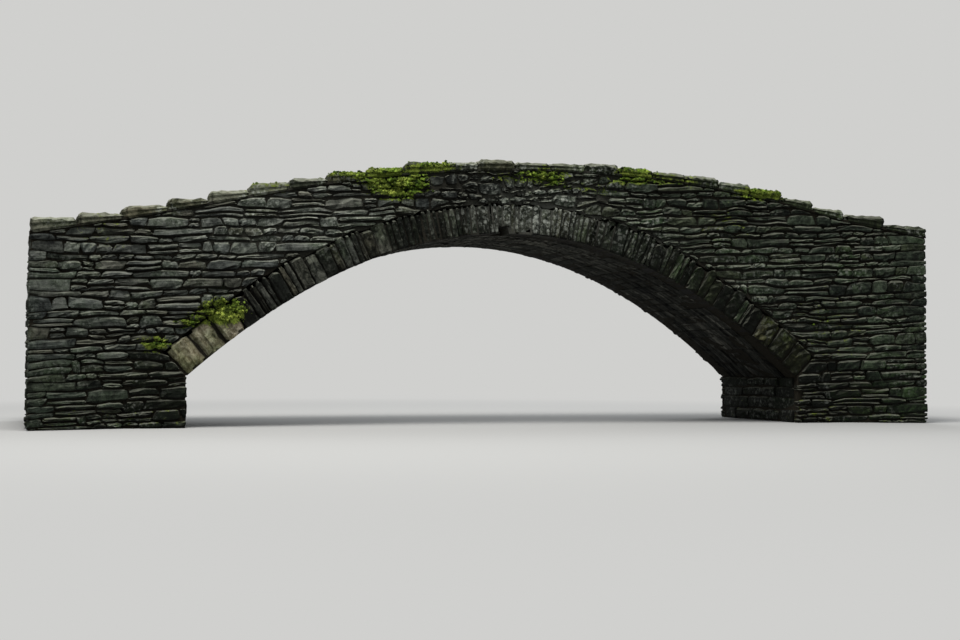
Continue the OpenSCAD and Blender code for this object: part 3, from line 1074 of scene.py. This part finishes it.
class Value:
    """A number that varies over a surface. Sums and products with it add Math nodes"""

    def __init__(self, shades, socket):
        self.shades = shades
        self.socket = socket

    def math(self, operation, first, second):
        inputs = {"Value": first, "Value_001": second}
        return self.shades.add("ShaderNodeMath", {"operation": operation}, inputs)

    def __add__(self, other):
        return self.math("ADD", self, other)

    def __sub__(self, other):
        return self.math("SUBTRACT", self, other)

    def __rsub__(self, other):
        return self.math("SUBTRACT", other, self)

    def __mul__(self, other):
        return self.math("MULTIPLY", self, other)

    __radd__ = __add__
    __rmul__ = __mul__

    def clamp(self):
        """The same value, kept between 0 and 1"""
        return self.shades.add("ShaderNodeClamp", None, {"Value": self})

    def other(self, output):
        """Another output of the node that this value comes from"""
        return Value(self.shades, self.socket.node.outputs[output])

    def step(self, low, high):
        """0 below low, 1 above high and smooth between them"""
        settings = {"interpolation_type": "SMOOTHSTEP"}
        inputs = {"Value": self, "From Min": low, "From Max": high}
        return self.shades.add("ShaderNodeMapRange", settings, inputs)


def set_stops(elements, stops):
    """Sets the stops of a colour ramp, which starts with two"""
    while len(elements) < len(stops):
        elements.new(0.5)
    for element, (at, colour) in zip(elements, stops):
        element.position = at
        element.color = colour


class Shades:
    """One material, or the world, and the nodes that make its pattern"""

    def __init__(self, owner):
        owner.use_nodes = True
        self.owner = owner
        self.tree = owner.node_tree
        self.tree.nodes.clear()

    def add(self, kind, settings=None, inputs=None, output=0):
        """Adds a node: its settings first, then the values or links of its sockets, by identifier.
        The stops of a colour ramp are a setting too, as a list of places and colours"""
        node = self.tree.nodes.new(kind)
        for name, setting in (settings or {}).items():
            if name == "stops":
                set_stops(node.color_ramp.elements, setting)
            else:
                setattr(node, name, setting)
        sockets = {socket.identifier: socket for socket in node.inputs}
        for name, given in (inputs or {}).items():
            if isinstance(given, Value):
                self.tree.links.new(given.socket, sockets[name])
            else:
                sockets[name].default_value = given
        return Value(self, node.outputs[output]) if node.outputs else None

    def attribute(self, name):
        """One of the point values of a Part"""
        return self.add("ShaderNodeAttribute", {"attribute_name": name}, output="Fac")

    def place(self, scale=(1, 1, 1)):
        """Position on the object in metres, stretched by scale"""
        here = self.add("ShaderNodeTexCoord", output="Object")
        return self.add("ShaderNodeMapping", None, {"Vector": here, "Scale": scale})

    def noise(self, scale, detail=4.0, roughness=0.6, stretch=(1, 1, 1), warp=0.0):
        """Noise with scale spots to a metre"""
        inputs = {
            "Vector": self.place(stretch), "Scale": scale, "Detail": detail,
            "Roughness": roughness, "Distortion": warp,
        }
        return self.add("ShaderNodeTexNoise", None, inputs)

    def cells(self, scale):
        """Rounded cells: the distance from the middle of each, and a random value of its own"""
        inputs = {"Vector": self.place(), "Scale": scale}
        away = self.add("ShaderNodeTexVoronoi", None, inputs, output="Distance")
        own = self.add("ShaderNodeSeparateXYZ", None, {"Vector": away.other("Color")}, output="X")
        return away, own

    def ramp(self, factor, places, colours):
        """Colour by a factor, which has each of the colours at its place"""
        settings = {"stops": list(zip(places, colours))}
        return self.add("ShaderNodeValToRGB", settings, {"Fac": factor})

    def mix(self, factor, first, second, blend="MIX"):
        """The first colour, taken over by the second as far as factor says"""
        inputs = {"Factor_Float": factor, "A_Color": first, "B_Color": second}
        settings = {"data_type": "RGBA", "blend_type": blend}
        return self.add("ShaderNodeMix", settings, inputs, output=2)

    def finish(self, colour, roughness, height, distance, gloss=0.1):
        """Surface of the material, with a bump from height"""
        bump = self.add("ShaderNodeBump", None, {"Height": height, "Distance": distance})
        inputs = {
            "Base Color": colour, "Roughness": roughness, "Specular IOR Level": gloss, "Normal": bump,
        }
        surface = self.add("ShaderNodeBsdfPrincipled", None, inputs)
        self.add("ShaderNodeOutputMaterial", None, {"Surface": surface})
        return self.owner


# Dark, middle and pale stone of each kind of work
SLATE = (tint(29, 31, 30), tint(78, 81, 76), tint(122, 124, 118))
TOPS = (tint(26, 28, 22), tint(62, 65, 51), tint(128, 128, 112))
RING = (tint(13, 14, 11), tint(38, 40, 35), tint(104, 105, 96))
PALE = (tint(34, 32, 22), tint(120, 112, 92), tint(206, 198, 178))
SOFFIT = (tint(16, 17, 16), tint(74, 74, 70), tint(146, 143, 135))
FOOT = (tint(12, 14, 12), tint(32, 35, 30), tint(76, 76, 64))
MOSS = (tint(26, 34, 17), tint(94, 110, 40), tint(188, 200, 92))
LICHEN = tint(182, 186, 176)
DIRT_AND_SHADE_BLACK = tint(23, 23, 21)


def weathered(name, colours, lichen=0.5, painted_top_light=0.25, spread=0.4):
    """Weathered stone. Its shade adds the stone's own tone, mottling, grain and bedding lines, less
    damp and soot, which carry painted shadow too; over it lie a warm or cool cast, green algae, pale
    lichen spots, dirt and painted shade in most joints, dirt in hollows, a painted highlight on what
    looks up, painted shade under what looks down, and moss"""
    m = Shades(bpy.data.materials.new(name))
    tone, kind, rim, moss = (m.attribute(v) for v in ("tone", "kind", "rim", "moss"))
    damp, soot = m.attribute("damp"), m.attribute("soot")
    mottle = m.noise(9.0, detail=7, roughness=0.68, warp=0.6)
    grain = m.noise(70.0, detail=5, roughness=0.7)
    patches = m.noise(1.7, detail=3)
    sheet = {"X": m.attribute("bed") * 34.0, "Y": tone * 9.0, "Z": patches * 7.0}
    sheets = m.add("ShaderNodeCombineXYZ", None, sheet)
    layers = m.add("ShaderNodeTexNoise", None, {"Vector": sheets, "Scale": 1.0, "Detail": 4.0})
    limed = m.attribute("lichen").clamp()
    shade = (tone - 0.5) * (1 - limed * 0.7) * spread + (layers - 0.5) * 0.6
    shade = shade + (mottle - 0.5) * 1.8 + (grain - 0.5) * 0.6 + 0.48
    # Less shade where damp and soot lie: partly their own dark, partly painted shadow
    shade = (shade - damp * 0.38 - soot * 0.3 + limed * 0.28).clamp()
    colour = m.ramp(shade, (0.0, 0.45, 1.0), colours)
    warm = kind.step(0.62, 1.0) * 0.5
    cool = (1 - kind.step(0.0, 0.3)) * 0.45
    colour = m.mix(warm, colour, tint(226, 208, 176), "MULTIPLY")
    colour = m.mix(cool, colour, tint(196, 204, 220), "MULTIPLY")
    algae = (patches.step(0.42, 0.7) * 0.45 + damp * 0.85).clamp()
    colour = m.mix(algae, colour, tint(176, 218, 152), "MULTIPLY")
    where = limed + patches.step(0.4, 0.62) * lichen
    spots = m.noise(19.0, detail=4, roughness=0.65, warp=0.3) + where * 0.09
    colour = m.mix(spots.step(0.54, 0.76) * where.clamp() * 0.6, colour, LICHEN)
    away, pick = m.cells(14.0)
    round_spots = (pick * 0.6 + mottle * 0.5 - away).step(0.28, 0.4)
    colour = m.mix(round_spots * (where * 0.9 - 0.2).clamp() * 0.75, colour, LICHEN)
    # Dirt and painted shade at the rounded edges of the stones, where they turn into the joints
    joints = rim.step(0.5, 1.0) * (1.15 - patches.step(0.45, 0.7) * 0.6 - limed * 0.55).clamp()
    hollows = 1 - (mottle - (damp + soot) * 0.12).step(0.3, 0.46)
    dirt_and_edge_shade = (joints * 0.75 + hollows * 0.4).clamp()
    colour = m.mix(dirt_and_edge_shade * 0.7, colour, DIRT_AND_SHADE_BLACK)
    normal = m.add("ShaderNodeNewGeometry", output="Normal")
    up = m.add("ShaderNodeSeparateXYZ", None, {"Vector": normal}, output="Z")
    # Painted highlight: what looks up is made paler, as if lit from above
    colour = m.mix(up.step(0.25, 0.9) * painted_top_light, colour, tint(176, 178, 160))
    # Painted shade: what looks down is made darker
    colour = m.mix((0 - up).step(0.35, 0.75) * 0.9, colour, tint(30, 28, 27))
    cover = (moss + (mottle - 0.5) * 1.7 + (grain - 0.5) * 0.6 + up * 0.25).step(0.58, 0.82)
    green = m.ramp((grain * 0.7 + mottle * 0.3).clamp(), (0.3, 0.5, 0.72), MOSS)
    colour = m.mix(cover, colour, green)
    height = mottle * 0.6 + layers * 0.35 + grain * 0.2 + cover * grain * 0.3
    return m.finish(colour, 0.93 - damp * 0.2 + cover * 0.1, height, 0.045)


def vault_stone(name):
    """Underside of the vault: dark, in streaks that run with the arch, darker where the damp and its
    painted shadow lie, with dirt and painted shade at the edges of its stones
    """
    m = Shades(bpy.data.materials.new(name))
    tone, rim, damp = m.attribute("tone"), m.attribute("rim"), m.attribute("damp")
    streaks = m.noise(1.0, detail=5, roughness=0.6, stretch=(0.4, 8.0, 0.4), warp=0.5)
    mottle = m.noise(9.0, detail=5)
    # Darker where damp lies: partly damp, partly painted shadow
    shade = (tone * 0.3 + (streaks - 0.5) * 2.2 + (mottle - 0.5) * 1.0 + 0.45 - damp * 0.5).clamp()
    colour = m.ramp(shade, (0.0, 0.5, 1.0), SOFFIT)
    # Dirt and painted shade at the edges of the stones, towards the joints
    colour = m.mix(rim.step(0.5, 1.0) * 0.5, colour, tint(5, 4, 5))
    return m.finish(colour, 0.95 - mottle * 0.2, mottle, 0.02, gloss=0.03)


def mortar(name):
    """Earth and old mortar deep in the joints"""
    m = Shades(bpy.data.materials.new(name))
    crumbs = m.noise(38.0, detail=6, roughness=0.7)
    moss = m.attribute("moss")
    colour = m.ramp(crumbs, (0.3, 0.7), (tint(20, 19, 16), tint(52, 48, 39)))
    colour = m.mix(moss.step(0.4, 1.0) * 0.6, colour, MOSS[0])
    colour = m.mix(m.attribute("lichen").clamp() * crumbs, colour, tint(128, 130, 122))
    return m.finish(colour, 0.97, crumbs, 0.02)


def gravel(name):
    """Trodden gravel: small cells of grey and buff stones in dark earth, paler and barer along the
    worn path, with moss along its edges"""
    m = Shades(bpy.data.materials.new(name))
    away, pick = m.cells(20.0)
    broad = m.noise(1.8, detail=6, roughness=0.65)
    grain = m.noise(90.0, detail=4)
    worn = m.attribute("kind")
    shade = (pick * 0.5 + (broad - 0.5) * 0.8 + grain * 0.3 + worn * 0.2).clamp()
    colour = m.ramp(shade, (0.0, 0.5, 1.0), (tint(48, 49, 44), tint(86, 87, 78), tint(132, 131, 120)))
    earth = away.step(0.25, 0.6) * 0.8 + (0.55 - broad).step(0.0, 0.25) * 0.25
    colour = m.mix(earth.clamp(), colour, tint(57, 57, 48))
    moss = m.attribute("moss")
    cover = (moss * 1.2 + (broad - 0.5) * 2.2 + (grain - 0.5) * 0.6 - worn * 0.3).step(0.45, 0.8)
    green = m.ramp(grain, (0.3, 0.5, 0.72), MOSS)
    colour = m.mix(cover, colour, green)
    height = (1 - away) * 0.7 + grain * 0.3
    return m.finish(colour, 0.92, height, 0.015)


def moss_cushion(name):
    """Moss: fine bright tips over dark hollows, from the noise that also makes its bump, so partly its
    own colour and partly painted highlight and shade; every tuft with its own shade, in yellow
    patches and green ones"""
    m = Shades(bpy.data.materials.new(name))
    # The same noise gives the colour and the bump, so the bright tips and dark hollows are partly
    # painted highlight and shade
    tips = m.noise(120.0, detail=4, roughness=0.75)
    broad = m.noise(7.0, detail=5, roughness=0.65)
    shade = (tips * 0.5 + (broad - 0.5) * 2.2 + m.attribute("tone") * 0.5 - 0.05).clamp()
    colour = m.ramp(shade, (0.1, 0.5, 0.95), MOSS)
    green = m.noise(2.6, detail=3).step(0.44, 0.62) * 0.5
    colour = m.mix(green, colour, tint(168, 222, 150), "MULTIPLY")
    return m.finish(colour, 0.95, tips, 0.012)


# Moss cushions

# Tufts to a square metre of full moss, the most on one face, and the largest face that may carry any
TUFTS = 4000
MOST_TUFTS = 9
LARGEST_SEAT = 0.05


def fetch(items, key, width=1, kind=float):
    """One property of every item, as rows of that width, or as plain numbers for a width of 1"""
    values = np.empty(len(items) * width, kind)
    items.foreach_get(key, values)
    return values.reshape(-1, width) if width > 1 else values


def seat_tufts(rng, data, side):
    """Middles and normals of the tufts of one mesh, on faces that are bare to the weather and inside
    a mossy patch. The number on a face is a random draw round the product of its area, the number
    to a square metre, and an S over its moss and over how far it looks up."""
    middle, facing = fetch(data.polygons, "center", 3), fetch(data.polygons, "normal", 3)
    area = fetch(data.polygons, "area")
    corner = fetch(data.loops, "vertex_index", kind=np.int32)
    first = corner[fetch(data.polygons, "loop_start", kind=np.int32)]
    moss, bare = (
        fetch(data.attributes[word].data, "value", kind=np.float32)[first] for word in ("moss", "bare")
    )
    chance = smooth(moss + 0.25 * facing[:, 2], 0.6, 1.4) * bare
    chance *= (middle[:, 1] * side > 0) & (area < LARGEST_SEAT)
    many = rng.poisson(np.minimum(area * TUFTS * chance, MOST_TUFTS))
    spread = np.sqrt(np.repeat(area, many))[:, None]
    middle, facing = np.repeat(middle, many, 0), np.repeat(facing, many, 0)
    shift = rng.uniform(-0.7, 0.7, middle.shape) * spread
    shift -= facing * (shift * facing).sum(1, keepdims=True)
    return middle + shift, facing


def unit(vectors):
    """Vectors of the same directions, of length 1"""
    return vectors / np.linalg.norm(vectors, axis=1, keepdims=True)


def grow_moss(name, side, pieces, material):
    """Tufts of moss on one side of the bridge. Each is a low dome of two rings of six points round
    its own axis, which is the surface normal drawn upwards, and a top. Its radius is 7 to 31 mm,
    by the square of a random draw, so that most are small."""
    rng = dice(name)
    seats, normals = (
        np.concatenate(found) for found in zip(*(seat_tufts(rng, p.data, side) for p in pieces))
    )
    n = len(seats)
    normals = unit(normals + [0, 0, 0.45])
    across = unit(np.cross(normals, rng.normal(0, 1, (n, 3))))
    other = np.cross(normals, across)
    radius = 0.007 + 0.024 * rng.random((n, 1, 1)) ** 2
    turn = np.arange(6) * math.pi / 3
    flat = np.cos(turn)[:, None] * across[:, None] + np.sin(turn)[:, None] * other[:, None]
    reach = np.array([1.0, 0.7])[None, :, None] * rng.uniform(0.7, 1.25, (n, 2, 6))
    lift = np.array([-0.5, 0.35])[None, :, None] + rng.uniform(-0.15, 0.15, (n, 2, 6))
    rings = seats[:, None, None] + flat[:, None] * (radius * reach)[..., None]
    rings = rings + normals[:, None, None] * (radius * lift)[..., None]
    top = seats + normals * radius[:, 0] * rng.uniform(0.45, 0.9, (n, 1))
    points = np.concatenate([rings.reshape(n, 12, 3), top[:, None]], 1)
    ring = np.arange(6)
    ahead = np.roll(ring, -1)
    band = np.stack([ring, ahead, ahead + 6, ring + 6], -1)
    dome = np.stack([ring + 6, ahead + 6, np.full(6, 12)], -1)
    part = Part()
    faces = repeated((band, dome, ring[None, ::-1]), n, 13)
    part.add(points.reshape(-1, 3), faces, 0, tone=np.repeat(rng.random(n), 13))
    return part.mesh(name, [material])


# Assembly

for side_name, side in SIDES.items():
    lay_outer_wall(side_name, side)
    lay_inner_wall(side_name, side)
    lay_ring(side_name, side)
    lay_coping(side_name, side)
    fill_walls(side_name, side)
for end_name, end in ENDS.items():
    lay_end_wall(end_name, end)
    lay_abutment_front(end_name, end)
    fill_core(end_name, end)
for barrel, first, last in zip(BARREL_NODES, STRETCH_FROM, STRETCH_FROM[1:]):
    lay_barrel(barrel, first, last)
lay_road()

# What each node is made of: a word in its name, its material slot and its finish
joints = mortar("mortar")
wall_stone = weathered("wall_stone", SLATE)
FINISHES = [
    ("_ring", "ring_stone", weathered("ring_stone", RING, lichen=0.15, spread=0.7)),
    ("springers", "springer_stone", weathered("springer_stone", PALE, lichen=0.3)),
    ("coping", "coping_stone", weathered("coping_stone", TOPS, lichen=0.8, painted_top_light=0.38, spread=0.7)),
    ("abutment", "abutment_stone", weathered("abutment_stone", FOOT)),
    ("barrel", "soffit_stone", vault_stone("soffit_stone")),
    ("fill", "rubble_fill", wall_stone),
    ("roadway", "gravel", gravel("gravel")),
    ("", "wall_stone", wall_stone),
]
mossy = []
for name, part in parts.items():
    slot, finish = next((s, f) for word, s, f in FINISHES if word in name)
    piece = part.mesh(f"{name}_stones", [finish, joints])
    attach(piece, "root")
    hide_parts(name)
    mossy.append(piece)
cushion = moss_cushion("moss_cushion")
for side_name, side in SIDES.items():
    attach(grow_moss(f"{side_name}_moss", side, mossy, cushion), "root")

# Camera: its place in metres, its angles in radians and its focal length in millimetres

CAMERA_AT = Vector((-7.107, -21.465, 0.933))
CAMERA_YAW, CAMERA_PITCH, CAMERA_ROLL = 0.3142, 0.0328, 0.0058
CAMERA_LENS = 51.4


def aim_camera():
    """Camera at the photograph's viewing angle: yaw to the right of +Y, pitch up and a little roll"""
    forward = Vector((
        math.sin(CAMERA_YAW) * math.cos(CAMERA_PITCH),
        math.cos(CAMERA_YAW) * math.cos(CAMERA_PITCH),
        math.sin(CAMERA_PITCH),
    ))
    right = Vector((math.cos(CAMERA_YAW), -math.sin(CAMERA_YAW), 0))
    up = right.cross(forward)
    turned_right = right * math.cos(CAMERA_ROLL) + up * math.sin(CAMERA_ROLL)
    turned_up = up * math.cos(CAMERA_ROLL) - right * math.sin(CAMERA_ROLL)
    lens = bpy.data.cameras.new("camera")
    lens.lens = CAMERA_LENS
    lens.sensor_width = 36
    camera = new_object("camera", lens)
    turn = Matrix((turned_right, turned_up, -forward)).transposed().to_4x4()
    camera.matrix_world = Matrix.Translation(CAMERA_AT) @ turn
    bpy.context.scene.camera = camera


# Stage

PALE_GROUND = tint(208, 208, 206)
# The floor: how far it reaches, how far it lies under the bridge, and between which distances from
# the middle it takes the colour of the background
FLOOR_REACH = 150.0
FLOOR_Z = -0.002
FADE_FROM, FADE_TO = 7.0, 17.0
LAMP_SIZE = 12.0


def seen_by(m):
    """1 on rays from the camera, in gloss and through glass, which show what they hit, and 0 on the
    rays that only bring light from it"""
    kinds = ("Is Camera Ray", "Is Glossy Ray", "Is Transmission Ray")
    camera, gloss, glass = (m.add("ShaderNodeLightPath", output=kind) for kind in kinds)
    return (camera + gloss + glass).clamp()


def lay_floor():
    """Plain pale floor, which takes the colour of the background far from the bridge and throws
    only a little light back up under the arch"""
    square = ((-1, -1), (1, -1), (1, 1), (-1, 1))
    data = bpy.data.meshes.new("floor")
    corners = [(x * FLOOR_REACH, y * FLOOR_REACH, FLOOR_Z) for x, y in square]
    data.from_pydata(corners, [], [range(4)])
    floor = new_object("floor", data)
    m = Shades(bpy.data.materials.new("floor"))
    here = m.add("ShaderNodeTexCoord", output="Object")
    away = m.add("ShaderNodeVectorMath", {"operation": "LENGTH"}, {"Vector": here}, output="Value")
    seen = seen_by(m)
    ground = m.mix(seen, tint(110, 112, 108), tint(180, 180, 178))
    matt = m.add("ShaderNodeBsdfDiffuse", None, {"Color": ground})
    glow = m.add("ShaderNodeEmission", None, {"Color": PALE_GROUND})
    factor = away.step(FADE_FROM, FADE_TO) * seen
    both = m.add("ShaderNodeMixShader", None, {"Fac": factor, "Shader": matt, "Shader_001": glow})
    m.add("ShaderNodeOutputMaterial", None, {"Surface": both})
    data.materials.append(m.owner)


def light_world():
    """Soft even light from all round, before the pale background that rays from the camera show"""
    m = Shades(bpy.data.worlds.new("world"))
    light = m.add("ShaderNodeBackground", None, {"Color": tint(242, 245, 249), "Strength": 0.5})
    seen = m.add("ShaderNodeBackground", None, {"Color": PALE_GROUND})
    both = m.add("ShaderNodeMixShader", None, {"Fac": seen_by(m), "Shader": light, "Shader_001": seen})
    m.add("ShaderNodeOutputWorld", None, {"Surface": both})
    bpy.context.scene.world = m.owner


def hang_lamp(name, at, watts, colour):
    """Large square lamp turned to the middle of the bridge"""
    lamp = bpy.data.lights.new(name, "AREA")
    lamp.size = LAMP_SIZE
    lamp.energy = watts
    lamp.color = colour
    holder = new_object(name, lamp)
    holder.location = at
    holder.rotation_euler = (Vector((0, 0, 2)) - Vector(at)).to_track_quat("-Z", "Y").to_euler()


aim_camera()
lay_floor()
light_world()
hang_lamp("key_light", (-7, -8, 23), 6000, (1.0, 0.985, 0.96))
hang_lamp("back_light", (9, 14, 18), 1800, (0.96, 0.98, 1.0))
bpy.context.scene.view_settings.view_transform = "Standard"
